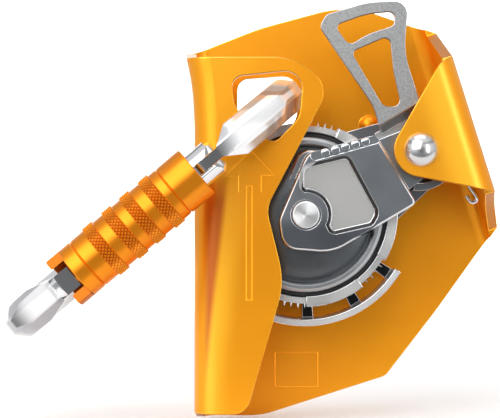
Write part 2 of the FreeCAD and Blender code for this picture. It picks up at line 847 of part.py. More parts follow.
lever_shares = [
    (-0.572, 0.700, 0.05), (-0.530, 0.768, 0.05), (-0.300, 0.836, 0.50), (-0.064, 0.845, 0.075),
    (-0.092, 0.555, 0.50), (0.0, 0.273, 0.0), (-0.232, 0.136, 0.0), (-0.262, 0.245, 0.25)]
window_top_shares = [
    (-0.485, 0.705, 0.03), (-0.300, 0.772, 0.50), (-0.140, 0.785, 0.05), (-0.150, 0.703, 0.03),
    (-0.300, 0.655, 0.40), (-0.400, 0.590, 0.04)]
window_low_shares = [
    (-0.390, 0.556, 0.03), (-0.172, 0.650, 0.035), (-0.152, 0.450, 0.60), (-0.106, 0.246, 0.045),
    (-0.208, 0.246, 0.06)]
lever_root_shares = [(-0.256, 0.096, 0.0), (-0.040, 0.224, 0.0), (0.130, 0.060, 0.0), (-0.100, -0.105, 0.0)]


def lever_outline(table):
    return from_shares(table, lever_reach, lever_reach, PIVOT.x, PIVOT.z)


def lever_step_piece():
    """The bend that steps from the lever's plate back to its hub."""
    right_end, left_end = [vec(x, 0, z) for x, z, r in lever_outline(lever_shares)[5:7]]
    along = right_end - left_end
    length = along.Length
    along.normalize()
    inward = vec(along.z, 0, -along.x)
    lap = lever_step_run / 3
    plate_back = -lever_front + lever_thickness
    hub_back = -lever_hub_front + lever_thickness
    far = lever_step_run + lever_thickness / 2
    section = [(-lap, -lever_front), (0, -lever_front), (lever_step_run, -lever_hub_front),
               (far, -lever_hub_front), (far, hub_back), (lever_step_run / 2, hub_back), (-lap, plate_back)]
    points = [left_end + inward * n + vec(0, y, 0) for n, y in section]
    points.append(points[0])
    return Part.Face(Part.makePolygon(points)).extrude(along * length)


def catch_lever():
    """The skeletonised catch: a plate that steps back to its hub on the barrel."""
    hub_back = -lever_hub_front + lever_thickness
    top = slab(lever_outline(lever_shares), -lever_front, -lever_front + lever_thickness)
    windows = [slab(lever_outline(table), -outer_half, 0)
               for table in (window_top_shares, window_low_shares)]
    root = slab(lever_outline(lever_root_shares), -lever_hub_front, hub_back)
    hub = disc(PIVOT, lever_hub_radius, -lever_hub_front, hub_back)
    body = fused([cut_all(top, windows), lever_step_piece(), root, hub])
    return body.cut(disc(PIVOT, barrel_radius + lever_bore_gap, -outer_half, 0))


# Springs

return_quarters = 15
return_from_deg = 34.0
catch_quarters = 8
catch_from_deg = 200.0


def biarc(start, start_way, end, end_way):
    """Two arcs that join two points with the given directions."""
    gap = end - start
    total = start_way + end_way
    shared = 2 * (1 - start_way.dot(end_way))
    reach = (-gap.dot(total) + math.sqrt(gap.dot(total) ** 2 + shared * gap.dot(gap))) / shared
    join = (start + start_way * reach + end - end_way * reach) / 2
    return [arc_between(start, start + start_way * reach, join),
            arc_between(join, end - end_way * reach, end)]


def arc_between(start, control, end):
    """The arc that leaves start towards control and reaches end."""
    half = (end - start).Length / 2
    turn = math.acos(min(1.0, half / (control - start).Length))
    foot = (start + end) / 2
    middle = foot + (control - foot) * (math.tan(turn / 2) / math.tan(turn))
    return Part.Arc(start, middle, end).toShape()


def coil_path(centre, radius, pitch, quarters, y_start, from_deg, lead_in, lead_out):
    """A coil round the Y axis as quarter-turn biarcs with straight ends."""
    def point(quarter):
        turn = math.radians(from_deg + 90 * quarter)
        return vec(centre.x + radius * math.cos(turn), y_start + pitch * quarter / 4,
                   centre.z + radius * math.sin(turn))

    def way(quarter):
        turn = math.radians(from_deg + 90 * quarter)
        rise = pitch / (2 * math.pi)
        direction = vec(-radius * math.sin(turn), rise, radius * math.cos(turn))
        return direction.normalize()

    edges = [Part.LineSegment(point(0) - way(0) * lead_in, point(0)).toShape()]
    samples = []
    for quarter in range(quarters):
        edges += biarc(point(quarter), way(quarter), point(quarter + 1), way(quarter + 1))
        samples += [point(quarter + part / samples_per_quarter) for part in range(samples_per_quarter)]
    edges.append(Part.LineSegment(point(quarters), point(quarters) + way(quarters) * lead_out).toShape())
    return Part.Wire(edges), samples


def least_self_gap(samples, wire):
    """The least gap between turns, measured on points half a turn or more apart."""
    least = None
    for i, here in enumerate(samples):
        for there in samples[i + 2 * samples_per_quarter:]:
            gap = (there - here).Length - wire
            if least is None or gap < least:
                least = gap
    return least


def wire_along(path, wire):
    start = path.Vertexes[0].Point
    way = path.Edges[0].tangentAt(path.Edges[0].FirstParameter)
    section = Part.Wire(Part.makeCircle(wire / 2, start, way))
    return path.makePipeShell([section], True, False)


def arm_return_spring():
    """Torsion spring round the barrel: its long leg lies on the frame's right web."""
    mean = barrel_radius + return_clear + return_wire / 2
    leg_start = math.radians(return_from_deg) - fold_lean
    room = fold_room - plate - leg_clear - return_wire / 2 - mean * math.cos(leg_start)
    y_start = rear_arm_front - face_gap - return_wire / 2 - return_pitch * return_quarters / 4
    path, samples = coil_path(PIVOT, mean, return_pitch, return_quarters, y_start, return_from_deg,
                              room / math.sin(leg_start), return_wire)
    print("arm_return_spring least self-gap", round(least_self_gap(samples, return_wire), 2))
    return wire_along(path, return_wire)


def catch_spring():
    """Small torsion spring that brings the catch lever back."""
    mean = barrel_radius + catch_clear + catch_wire / 2
    y_start = -lever_hub_front + lever_thickness + face_gap + catch_wire / 2
    path, samples = coil_path(PIVOT, mean, catch_pitch, catch_quarters, y_start, catch_from_deg,
                              catch_wire, catch_wire)
    print("catch_spring least self-gap", round(least_self_gap(samples, catch_wire), 2))
    return wire_along(path, catch_wire)


# Connector, drawn along X with its gate in front, then turned onto its lean.
# Distances along it are called s, from its middle towards the gate's hinge.

plate_cross_share = 0.899
grip_places_share = [-1.01, -0.59, -0.20, 0.215]
groove_places_share = [-1.405, 0.485]
stock_shares = [
    (-0.50, -0.18, 0.09), (-0.50, 0.18, 0.09), (-0.17, 0.50, 0.13), (0.17, 0.50, 0.13),
    (0.50, 0.18, 0.09), (0.50, -0.18, 0.09), (0.17, -0.50, 0.13), (-0.17, -0.50, 0.13)]

bend_radius = ring_depth / 2
gate_axis_y = ring_shift - bend_radius
end_s = (connector_length - stock_depth) / 2 - bend_radius
leg_end_s = sleeve_low - sleeve_leg
recess_radius = gate_radius + recess_depth
sleeve_radius = recess_radius + sleeve_wall
plunger_tip_s = hinge_s - key_height / 2 - tongue_gap


def s_point(s, y=gate_axis_y, p=0.0):
    return vec(s, y, p)


def along_gate(radius, s_from, s_to):
    """A rod on the gate's own axis."""
    return Part.makeCylinder(radius, s_to - s_from, s_point(s_from), ALONG_X)


def across_hinge(radius, half):
    """A rod on the gate's hinge line."""
    return Part.makeCylinder(radius, 2 * half, s_point(hinge_s, p=-half), ALONG_Z)


def gate_block(s_from, s_to, y_from, y_to, half_width):
    """A block across the gate's middle plane."""
    return Part.makeBox(s_to - s_from, y_to - y_from, 2 * half_width, vec(s_from, y_from, -half_width))


def stock_face(s, y):
    """The section of the forged bar: an oval with eight soft facets."""
    face = Part.Face(outline(from_shares(stock_shares, stock_depth, stock_width)))
    face.rotate(ORIGIN, ALONG_Z, 90)
    face.translate(vec(s, y, 0))
    return face


def stock_bend(side):
    """Half a turn of the bar at one end; side is 1 at the hinge end."""
    face = stock_face(side * end_s, ring_shift + bend_radius)
    return face.revolve(vec(side * end_s, ring_shift, 0), ALONG_Z, -side * 180)


def laid(shape):
    """Turns a connector piece onto its lean and hangs it in the frame's hole."""
    shape = shape.copy()
    shape.rotate(ORIGIN, ALONG_X, connector_roll_deg)
    shape.rotate(ORIGIN, ALONG_Y, -connector_lean_deg)
    lean = math.radians(connector_lean_deg)
    cross = plate_cross_share * (connector_length / 2 - stock_depth / 2)
    shape.translate(vec(hole_x - cross * math.cos(lean), 0, hole_z - cross * math.sin(lean)))
    return shape


def hinge_tongue(start):
    """The flat tongue that the gate's ears straddle."""
    block = gate_block(hinge_s, start + tongue_width, gate_axis_y - key_height / 2,
                       gate_axis_y + key_height / 2, tongue_width / 2)
    return block.fuse(across_hinge(key_height / 2, tongue_width / 2))


def flare(start, run, width):
    """Wedges that narrow the bar towards the hinge tongue or the nose, one on each side."""
    wedges = []
    for side in (1, -1):
        corners = [(start, side * width / 2), (start, side * stock_width),
                   (start + run, side * stock_width), (start + run, side * stock_width / 2)]
        points = [s_point(s, gate_axis_y - stock_depth, p) for s, p in corners]
        points.append(points[0])
        wedges.append(Part.Face(Part.makePolygon(points)).extrude(vec(0, 2 * stock_depth, 0)))
    return wedges


def nose_key():
    """The narrow nose that the gate's end closes on, inside the sleeve's leg."""
    middle = gate_axis_y + nose_drop
    return gate_block(leg_end_s - leg_gap - nose_width / 2, sleeve_low - leg_gap,
                      middle - nose_height / 2, middle + nose_height / 2, nose_width / 2)


def connector_body():
    """The forged hook: spine, two bends, hinge tongue and nose key."""
    bars = [stock_face(-end_s, ring_shift + side * bend_radius).extrude(vec(2 * end_s, 0, 0))
            for side in (1, -1)]
    whole = fused(bars + [stock_bend(1), stock_bend(-1)])
    tongue_start = hinge_s + gate_radius + seat_gap
    mouth = gate_block(leg_end_s - leg_gap, tongue_start, gate_axis_y - bend_radius,
                       ring_shift + bend_radius - stock_depth, stock_width)
    wedges = flare(tongue_start, flare_length, tongue_width)
    wedges += flare(leg_end_s - leg_gap, -nose_flare_length, nose_width)
    whole = cut_all(whole, [mouth] + wedges)
    whole = fused([whole, hinge_tongue(tongue_start), nose_key()])
    return whole.cut(across_hinge(gate_rivet_radius + axle_run_gap, stock_width / 2))


def gate_rivet():
    return across_hinge(gate_rivet_radius, gate_radius - gate_rivet_inset)


def gate():
    """The hollow gate: a tube with two ears about the hinge tongue."""
    ears = along_gate(gate_radius, hinge_s, hinge_s + gate_radius)
    ears = ears.common(across_hinge(gate_radius, 2 * gate_radius))
    ears = ears.common(Part.makeSphere(gate_radius + ear_room, s_point(hinge_s)))
    body = fused([along_gate(gate_radius, sleeve_low, hinge_s), ears])
    slot = gate_block(hinge_s - gate_radius - tongue_gap, hinge_s + gate_radius + tongue_gap,
                      gate_axis_y - 2 * gate_radius, gate_axis_y + 2 * gate_radius,
                      tongue_width / 2 + tongue_gap)
    bore = along_gate(plunger_radius, sleeve_low + gate_floor, plunger_tip_s)
    rivet_hole = across_hinge(gate_rivet_radius, 2 * gate_radius)
    return cut_all(body, [slot, bore, rivet_hole])


def gate_plunger():
    """The pin that the gate's spring pushes against the hinge tongue."""
    return along_gate(plunger_radius - sleeve_gap, plunger_tip_s - plunger_length,
                      plunger_tip_s - spring_clear)


def gate_spring():
    start = sleeve_low + gate_floor + spring_clear
    end = plunger_tip_s - plunger_length - spring_clear
    outer = along_gate(plunger_radius - spring_clear, start, end)
    return outer.cut(along_gate(plunger_radius - spring_clear - gate_spring_wall, start, end))


def sleeve_profile():
    """Half section of the sleeve as (s, radius) from its low end to its top."""
    marks = [(share * sleeve_top, groove_depth, groove_depth, -groove_depth)
             for share in groove_places_share]
    marks += [(share * sleeve_top, grip_width / 2, grip_rise / 3, grip_rise) for share in grip_places_share]
    points = [(leg_end_s, sleeve_radius - sleeve_edge), (leg_end_s + sleeve_edge, sleeve_radius)]
    for middle, half, slope, rise in sorted(marks):
        points += [(middle - half, sleeve_radius), (middle - half + slope, sleeve_radius + rise)]
        if slope < half:
            points.append((middle + half - slope, sleeve_radius + rise))
        points.append((middle + half, sleeve_radius))
    points += [(sleeve_top - sleeve_edge, sleeve_radius), (sleeve_top, sleeve_radius - sleeve_edge)]
    return points


def locking_sleeve():
    """The ribbed sleeve, hollow for its guide ring, cut open at its low end over the nose."""
    bore = gate_radius + sleeve_gap
    inner = [(sleeve_top, bore), (recess_half, bore), (recess_half, recess_radius),
             (-recess_half, recess_radius), (-recess_half, bore), (leg_end_s, bore)]
    points = [vec(s, gate_axis_y, r) for s, r in sleeve_profile() + inner]
    points.append(points[0])
    body = Part.Face(Part.makePolygon(points)).revolve(s_point(0), ALONG_X, 360)
    notch = gate_block(leg_end_s, sleeve_low, gate_axis_y - 2 * sleeve_radius, gate_axis_y - notch_front,
                       sleeve_radius)
    notch.rotate(s_point(0), ALONG_X, -notch_turn_deg)
    return body.cut(notch)


def sleeve_guide_ring():
    """The ring on the gate that lets the sleeve slide and turn."""
    start, end = -recess_half + face_gap, -recess_half + guide_width
    ring = along_gate(recess_radius - sleeve_gap, start, end)
    return ring.cut(along_gate(gate_radius + guide_gap, start, end))


def sleeve_spring():
    """The sleeve's spring, between the guide ring and the top of the recess."""
    start, end = -recess_half + guide_width + face_gap, recess_half - face_gap
    ring = along_gate(recess_radius - spring_clear, start, end)
    return ring.cut(along_gate(gate_radius + spring_clear, start, end))


PARTS = {
    "frame_shell": frame_shell,
    "arm_axle": arm_axle,
    "front_washer": front_washer,
    "rear_spacer": rear_spacer,
    "arm_return_spring": arm_return_spring,
    "arm_front": arm_front,
    "arm_rear": arm_rear,
    "pivot_barrel": pivot_barrel,
    "arm_bridge": arm_bridge,
    "wheel_axle": wheel_axle,
    "hub_cover": hub_cover,
    "cover_seal": cover_seal,
    "thrust_washer": thrust_washer,
    "ratchet_ring": ratchet_ring,
    "cover_dowels": cover_dowels,
    "wheel_guard": wheel_guard,
    "wheel_rim": wheel_rim,
    "toothed_band": toothed_band,
    "wheel_bush": wheel_bush,
    "pawl_a": pawl_a,
    "pawl_b": pawl_b,
    "pawl_pins": pawl_pins,
    "pawl_springs": pawl_springs,
    "spring_posts": spring_posts,
    "catch_lever": catch_lever,
    "catch_spring": catch_spring,
}
CONNECTOR_PARTS = {
    "connector_body": connector_body,
    "gate_rivet": gate_rivet,
    "gate": gate,
    "gate_plunger": gate_plunger,
    "gate_spring": gate_spring,
    "sleeve_guide_ring": sleeve_guide_ring,
    "sleeve_spring": sleeve_spring,
    "locking_sleeve": locking_sleeve,
}

for name, make in PARTS.items():
    shape = make()
    shape.exportStep("parts/" + name + ".step")
    print(name, len(shape.Solids), round(shape.Volume), shape.isValid())
for name, make in CONNECTOR_PARTS.items():
    shape = laid(make())
    shape.exportStep("parts/" + name + ".step")
    print(name, len(shape.Solids), round(shape.Volume), shape.isValid())
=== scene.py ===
import bpy
import bmesh
import math
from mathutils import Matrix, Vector


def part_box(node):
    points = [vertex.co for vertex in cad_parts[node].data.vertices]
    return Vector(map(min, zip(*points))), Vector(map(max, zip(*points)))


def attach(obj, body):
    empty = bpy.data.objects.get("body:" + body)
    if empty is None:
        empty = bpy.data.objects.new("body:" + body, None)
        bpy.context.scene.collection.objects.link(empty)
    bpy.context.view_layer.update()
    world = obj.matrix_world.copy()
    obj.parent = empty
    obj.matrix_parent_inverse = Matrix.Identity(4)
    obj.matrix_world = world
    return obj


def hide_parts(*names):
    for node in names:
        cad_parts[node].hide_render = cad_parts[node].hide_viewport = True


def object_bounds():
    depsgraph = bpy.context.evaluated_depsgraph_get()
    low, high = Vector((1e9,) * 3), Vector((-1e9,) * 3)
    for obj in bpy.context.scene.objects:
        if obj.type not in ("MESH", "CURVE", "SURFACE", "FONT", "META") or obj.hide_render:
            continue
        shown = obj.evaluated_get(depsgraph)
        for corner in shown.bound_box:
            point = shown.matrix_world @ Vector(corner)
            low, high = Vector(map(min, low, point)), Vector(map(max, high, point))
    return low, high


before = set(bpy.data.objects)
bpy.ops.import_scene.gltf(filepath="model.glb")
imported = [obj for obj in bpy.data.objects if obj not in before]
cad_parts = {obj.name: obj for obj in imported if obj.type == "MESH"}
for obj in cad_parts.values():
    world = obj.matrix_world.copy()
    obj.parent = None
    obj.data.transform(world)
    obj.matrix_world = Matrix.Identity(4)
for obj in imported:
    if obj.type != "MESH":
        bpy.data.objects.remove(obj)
cad_box = [list(corner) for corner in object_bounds()]
mm = 0.001

# Places read from the frame, in metres
axle_low, axle_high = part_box("wheel_axle")
rivet_low, rivet_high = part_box("arm_axle")
ring_low, ring_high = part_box("sleeve_guide_ring")
WHEEL = (axle_low + axle_high) / 2
PIVOT = (rivet_low + rivet_high) / 2
GUIDE = (ring_low + ring_high) / 2

# Front faces of the plates along Y, the arm's pocket, and where the painted highlight on the
# cover's lip and the painted shade on the struts start
flange_front = -17.0 * mm
back_front = 14.0 * mm
pocket_floor = -11.7 * mm
POCKET = Vector((33.1 * mm, 0, 5.6 * mm))
pocket_reach = 12.3 * mm
cover_lip_start = 20.0 * mm
strut_start = 30.0 * mm

# Painted highlight and painted shade on the bent sheet. The bend and the tab's edge are lines
# in X that lean with Z, and a share is what is left of a tone where it has faded
bend_line, bend_slope = -1.2 * mm, 0.115
bend_depths = (15.2 * mm, 16.6 * mm)
highlight_width, highlight_heights, highlight_share = 9.0 * mm, (-30.0 * mm, 20.0 * mm), 0.25
tab_line, tab_slope = 75.5 * mm, 0.327
tab_starts, tab_edge = (42.0 * mm, 50.0 * mm), (-0.3 * mm, 2.4 * mm)
tab_fade, tab_share = (3.5 * mm, 14.0 * mm), 0.30
# Width and heights of the painted shade streak on the bend
shade_half, shade_heights = 1.1 * mm, (2.0 * mm, 16.0 * mm)
back_depths = (11.0 * mm, 12.5 * mm)
cut_facing = (0.45, 0.60)
# Metallic parts and colours of the sheet's painted highlight and painted shade
sheet_shine, highlight_shine = 0.60, 0.28
painted_highlight_orange, painted_shade_orange = (1.0, 0.50, 0.02), (0.56, 0.125, 0.006)
cut_shade_brown = (0.54, 0.18, 0.012)

# Painted tones on the arm's block: a painted reflection on the pocket's floor, by the distance
# from it; painted shade by the height above its foot; and a painted highlight on the edges and
# painted shade on the pocket's slopes, by how far a face turns away from the front
floor_reach, floor_soft, floor_clear = 0.12 * mm, 0.05 * mm, 0.4 * mm
foot_drops = (-2.0 * mm, 6.0 * mm)
pocket_soft = 0.3 * mm
floor_reflection_grey, floor_reflection_shine = (0.45, 0.45, 0.44), 0.35
foot_shade_grey, edge_highlight_grey = (0.15, 0.165, 0.185), (0.70, 0.72, 0.74)
slope_shade_grey = (0.07, 0.072, 0.075)

# The connector's lean, and the painted highlight, painted reflections and painted shade on its
# ground facets and eye, by the length from one of its ends
lean = math.radians(40.2)
facet_edge = (-0.15 * mm, 0.25 * mm)
EYE_END = Vector((15.8 * mm, 0, 32.6 * mm))
eye_start, eye_soft = 2.0 * mm, 6.0 * mm
eye_lengths, eye_halves = (-0.8 * mm, 3.6 * mm), (0.8 * mm, 3.5 * mm)
eye_fade, eye_depths = (14.0 * mm, 18.0 * mm), (-16.0 * mm, -10.0 * mm)
# Painted highlight at the eye and warm painted reflection on its side facets
eye_highlight_grey, eye_highlight_shine, eye_reflection_warm = (0.94, 0.945, 0.955), 0.42, (0.50, 0.36, 0.27)
FACET_END = Vector((-60.15 * mm, 0, -30.7 * mm))
facet_end_half, facet_widening, facet_half = 1.5 * mm, 0.35, 3.3 * mm
facet_start, facet_dark = (-0.6 * mm, -0.2 * mm), (-0.5 * mm, 8.0 * mm)
facet_depths = (-4.0 * mm, 4.0 * mm)
nose_start, nose_soft, nose_depths = 16.4 * mm, 0.3 * mm, (-12.0 * mm, 6.0 * mm)
# Painted reflections on the bar and its facet, and painted shade at the facet's end
bar_reflection_grey, bar_reflection_shine = (0.40, 0.395, 0.415), 0.40
facet_reflection_grey, facet_shade_black = (0.80, 0.80, 0.815), (0.055, 0.057, 0.061)


# Node helpers

class Recipe:
    """A material that is built node by node, with short calls for what it needs."""

    def __init__(self, name):
        self.material = bpy.data.materials.new(name)
        self.material.use_nodes = True
        self.tree = self.material.node_tree
        self.shader = self.tree.nodes["Principled BSDF"]
        self.coords = self.tree.nodes.new("ShaderNodeTexCoord").outputs["Object"]

    def node(self, kind, inputs, **settings):
        made = self.tree.nodes.new(kind)
        for key, value in settings.items():
            setattr(made, key, value)
        for key, value in inputs.items():
            self.give(made.inputs[key], value)
        return made

    def give(self, socket, value):
        if isinstance(value, bpy.types.NodeSocket):
            self.tree.links.new(value, socket)
        else:
            socket.default_value = value

    def set(self, **values):
        for key, value in values.items():
            self.give(self.shader.inputs[key.replace("_", " ")], value)

    def now(self, name):
        """What feeds one of the shader's sockets."""
        return self.shader.inputs[name].links[0].from_socket

    def math(self, operation, *values):
        made = self.tree.nodes.new("ShaderNodeMath")
        made.operation = operation
        for socket, value in zip(made.inputs, values):
            self.give(socket, value)
        return made.outputs[0]

    def minus(self, first, second):
        return self.math("SUBTRACT", first, second)

    def times(self, product, *factors):
        for factor in factors:
            product = self.math("MULTIPLY", product, factor)
        return product

    def noise(self, scale, detail=2.0, rough=0.5, vector=None):
        made = self.node("ShaderNodeTexNoise", {
            "Vector": vector or self.coords, "Scale": scale, "Detail": detail,
            "Roughness": rough})
        return made.outputs["Fac"]

    def ramp(self, value, low, high, to_low, to_high):
        made = self.node("ShaderNodeMapRange", {
            "Value": value, "From Min": low, "From Max": high,
            "To Min": to_low, "To Max": to_high}, interpolation_type="SMOOTHSTEP")
        return made.outputs["Result"]

    def rise(self, value, low, high):
        """A mask that goes from 0 to 1 between two values."""
        return self.ramp(value, low, high, 0.0, 1.0)

    def fade(self, value, low, high):
        """A mask that goes from 1 to 0 between two values."""
        return self.ramp(value, low, high, 1.0, 0.0)

    def blend(self, factor, first, second):
        made = self.tree.nodes.new("ShaderNodeMix")
        made.data_type = "RGBA"
        self.give(made.inputs[0], factor)
        self.give(made.inputs[6], first)
        self.give(made.inputs[7], second)
        return made.outputs[2]

    def bump(self, height, strength, distance):
        made = self.node("ShaderNodeBump", {
            "Height": height, "Strength": strength, "Distance": distance})
        self.give(self.shader.inputs["Normal"], made.outputs["Normal"])

    def place(self):
        """The place's X, Y and Z, in metres."""
        split = self.node("ShaderNodeSeparateXYZ", {"Vector": self.coords})
        return split.outputs["X"], split.outputs["Y"], split.outputs["Z"]

    def facing(self, axis):
        """How far the surface faces along an axis, either way: 1 is straight along it."""
        normal = self.node("ShaderNodeNewGeometry", {}).outputs["Normal"]
        split = self.node("ShaderNodeSeparateXYZ", {"Vector": normal})
        return self.math("ABSOLUTE", split.outputs[axis])


def tint(rgb):
    return (*rgb, 1.0)


def around(recipe, centre):
    """Radius and angle of a point about an axis along Y, in metres and radians."""
    x, _, z = recipe.place()
    x, z = recipe.minus(x, centre.x), recipe.minus(z, centre.z)
    radius = recipe.math("SQRT", recipe.math("ADD", recipe.times(x, x), recipe.times(z, z)))
    return radius, recipe.math("ARCTAN2", z, x)


def on_connector(recipe, end):
    """Length along the leaning connector from an end, the place across it, and Y."""
    x, y, z = recipe.place()
    x, z = recipe.minus(x, end.x), recipe.minus(z, end.z)
    cos, sin = math.cos(lean), math.sin(lean)
    length = recipe.math("ADD", recipe.times(x, cos), recipe.times(z, sin))
    return length, recipe.minus(recipe.times(x, sin), recipe.times(z, cos)), y


# Materials

def metal(name, light, dark, rough, grain=900.0, grain_depth=0.012 * mm, patch=60.0,
          rough_spread=0.06, shine=1.0):
    """Metal with a fine grain, soft patches of tone and an uneven gloss; shine is its metallic
    part, and grain and patch are the scales of their noise."""
    recipe = Recipe(name)
    patches = recipe.noise(patch, 3.0, 0.55)
    gloss = recipe.noise(patch * 2.3, 2.0, 0.5)
    recipe.set(Base_Color=recipe.blend(recipe.rise(patches, 0.25, 0.75), tint(light), tint(dark)),
               Metallic=shine,
               Roughness=recipe.ramp(gloss, 0.2, 0.8, rough - rough_spread, rough + rough_spread))
    recipe.bump(recipe.noise(grain, 2.0, 0.6), 1.0, grain_depth)
    return recipe


def turned(name, light, dark, rough, centre, rings=9000.0, depth=0.02 * mm):
    """Metal with the fine rings that a lathe leaves round an axis along Y."""
    recipe = metal(name, light, dark, rough)
    radius, angle = around(recipe, centre)
    line = recipe.node("ShaderNodeCombineXYZ", {"X": recipe.times(radius, rings),
                                                "Y": recipe.times(angle, 0.4)})
    recipe.bump(recipe.noise(1.0, 3.0, 0.6, vector=line.outputs["Vector"]), 0.8, depth)
    return recipe


def banded(recipe, measure, start, soft, colour, shine=None):
    """Gives a recipe another colour where a measure of the place is above a start."""
    mask = recipe.rise(measure, start - soft, start + soft)
    recipe.set(Base_Color=recipe.blend(mask, recipe.now("Base Color"), tint(colour)))
    if shine is not None:
        base = recipe.shader.inputs["Metallic"].default_value
        recipe.set(Metallic=recipe.ramp(mask, 0.0, 1.0, base, shine))


def pin_metal():
    """The wheel's pin: brushed outwards from its middle, with a swirl in its gloss."""
    recipe = metal("pin_face", (0.86, 0.87, 0.88), (0.78, 0.79, 0.80), rough=0.34)
    radius, angle = around(recipe, WHEEL)
    rays = recipe.node("ShaderNodeCombineXYZ", {"X": recipe.times(angle, 40.0),
                                                "Y": recipe.times(radius, 60.0)})
    recipe.bump(recipe.noise(1.0, 2.0, 0.6, vector=rays.outputs["Vector"]), 0.7, 0.012 * mm)
    swirl = recipe.node("ShaderNodeTangent", {}, direction_type="RADIAL", axis="Y")
    recipe.set(Anisotropic=0.85, Tangent=swirl.outputs["Tangent"])
    return recipe.material


def cover_metal():
    """The hub cover: a dark dish inside a lip with a painted highlight."""
    recipe = turned("cover_steel", (0.13, 0.14, 0.15), (0.10, 0.108, 0.116), rough=0.34,
                    centre=WHEEL, depth=0.008 * mm)
    # Painted highlight on the lip
    banded(recipe, around(recipe, WHEEL)[0], start=cover_lip_start, soft=0.15 * mm,
           colour=(0.42, 0.44, 0.46))
    return recipe.material


def rear_metal():
    """The arm's rear half: dark steel, with painted shade on the struts far from the axle."""
    recipe = metal("rear_steel", (0.27, 0.295, 0.32), (0.20, 0.22, 0.245), rough=0.31,
                   patch=45.0, rough_spread=0.03)
    # Painted shade on the struts
    banded(recipe, around(recipe, PIVOT)[0], start=strut_start, soft=1.0 * mm,
           colour=(0.022, 0.023, 0.025))
    return recipe.material


def arm_metal():
    """The arm's block: dark satin steel, with painted shade towards its foot, a painted highlight
    on its rounded edges, and in its pocket a painted reflection on the floor between slopes in
    painted shade."""
    recipe = metal("arm_steel", (0.32, 0.345, 0.37), (0.25, 0.27, 0.295), rough=0.31,
                   grain=1300.0, grain_depth=0.010 * mm, patch=45.0, rough_spread=0.03)
    _, depth, height = recipe.place()
    floor_gap = recipe.math("ABSOLUTE", recipe.minus(depth, pocket_floor))
    # Painted reflection on the pocket's floor
    banded(recipe, recipe.minus(0.0, floor_gap), start=-floor_reach, soft=floor_soft,
           colour=floor_reflection_grey, shine=floor_reflection_shine)
    # Painted shade towards the foot
    foot = recipe.times(recipe.rise(recipe.minus(0.0, height), *foot_drops),
                        recipe.rise(floor_gap, floor_reach, floor_clear))
    banded(recipe, foot, start=0.5, soft=0.5, colour=foot_shade_grey)
    turned_away = recipe.minus(1.0, recipe.facing("Y"))
    outer = recipe.rise(around(recipe, POCKET)[0], pocket_reach, pocket_reach + pocket_soft)
    inner = recipe.minus(1.0, outer)
    # Painted highlight on the outer edges
    banded(recipe, recipe.times(turned_away, outer), start=0.05, soft=0.04, colour=edge_highlight_grey)
    # Painted shade on the pocket's slopes
    banded(recipe, recipe.times(turned_away, inner), start=0.25, soft=0.05, colour=slope_shade_grey)
    return recipe.material


def sheet_metal():
    """The frame's orange sheet: a painted shade streak on the bend, a painted highlight beside it
    towards the foot and on the tab, painted shade where it is cut across."""
    recipe = metal("anodised_orange", (0.97, 0.375, 0.005), (0.93, 0.335, 0.004), rough=0.31,
                   grain=1600.0, grain_depth=0.008 * mm, patch=22.0, rough_spread=0.03,
                   shine=sheet_shine)
    x, y, z = recipe.place()
    front = recipe.rise(recipe.times(y, -1.0), *bend_depths)
    beside = recipe.minus(x, recipe.math("ADD", recipe.times(z, bend_slope), bend_line))
    highlight_by_bend = recipe.times(recipe.fade(beside, 0.0, highlight_width),
                           recipe.ramp(z, *highlight_heights, 1.0, highlight_share))
    inside = recipe.minus(recipe.minus(tab_line, recipe.times(z, tab_slope)), x)
    highlight_on_tab = recipe.times(recipe.rise(x, *tab_starts), recipe.rise(inside, *tab_edge),
                          recipe.ramp(inside, *tab_fade, 1.0, tab_share))
    # Painted highlight beside the bend and on the tab
    pale = recipe.times(recipe.math("MAXIMUM", highlight_by_bend, highlight_on_tab), front)
    # Painted shade streak along the bend
    shade_streak_mask = recipe.times(recipe.fade(beside, -shade_half, shade_half),
                        recipe.fade(z, *shade_heights), front)
    # Painted shade on the faces cut across the sheet, picked by their facing
    cut = recipe.times(recipe.rise(recipe.facing("Z"), *cut_facing),
                       recipe.fade(y, *back_depths))
    tone = recipe.blend(pale, recipe.now("Base Color"), tint(painted_highlight_orange))
    tone = recipe.blend(shade_streak_mask, tone, tint(painted_shade_orange))
    recipe.set(Base_Color=recipe.blend(cut, tone, tint(cut_shade_brown)),
               Metallic=recipe.ramp(pale, 0.0, 1.0, sheet_shine, highlight_shine))
    return recipe.material


def knurl_metal():
    """The sleeve's orange, with painted shade in the valleys of its knurling and on its leg."""
    recipe = metal("sleeve_orange", (0.86, 0.275, 0.006), (0.78, 0.235, 0.004), rough=0.30,
                   grain=1200.0, grain_depth=0.006 * mm, patch=40.0, rough_spread=0.02,
                   shine=0.72)
    painted_shade_share = recipe.node("ShaderNodeAttribute", {}, attribute_name="valley").outputs["Fac"]
    # Painted shade in the knurling's valleys and on the leg
    banded(recipe, painted_shade_share, start=0.62, soft=0.38, colour=(0.52, 0.13, 0.003))
    return recipe.material


def eye_side_reflection(recipe):
    """The connector's eye: a warm painted reflection on the side facets beside its ground face.
    """
    length, across, depth = on_connector(recipe, EYE_END)
    back = recipe.times(length, -1.0)
    half = recipe.ramp(back, *eye_lengths, *eye_halves)
    outside = recipe.minus(recipe.math("ABSOLUTE", across), half)
    side = recipe.times(recipe.rise(outside, *facet_edge), recipe.fade(back, *eye_fade),
                        recipe.fade(depth, *eye_depths))
    # Warm painted reflection on the eye's side facets
    recipe.set(Base_Color=recipe.blend(side, recipe.now("Base Color"), tint(eye_reflection_warm)))


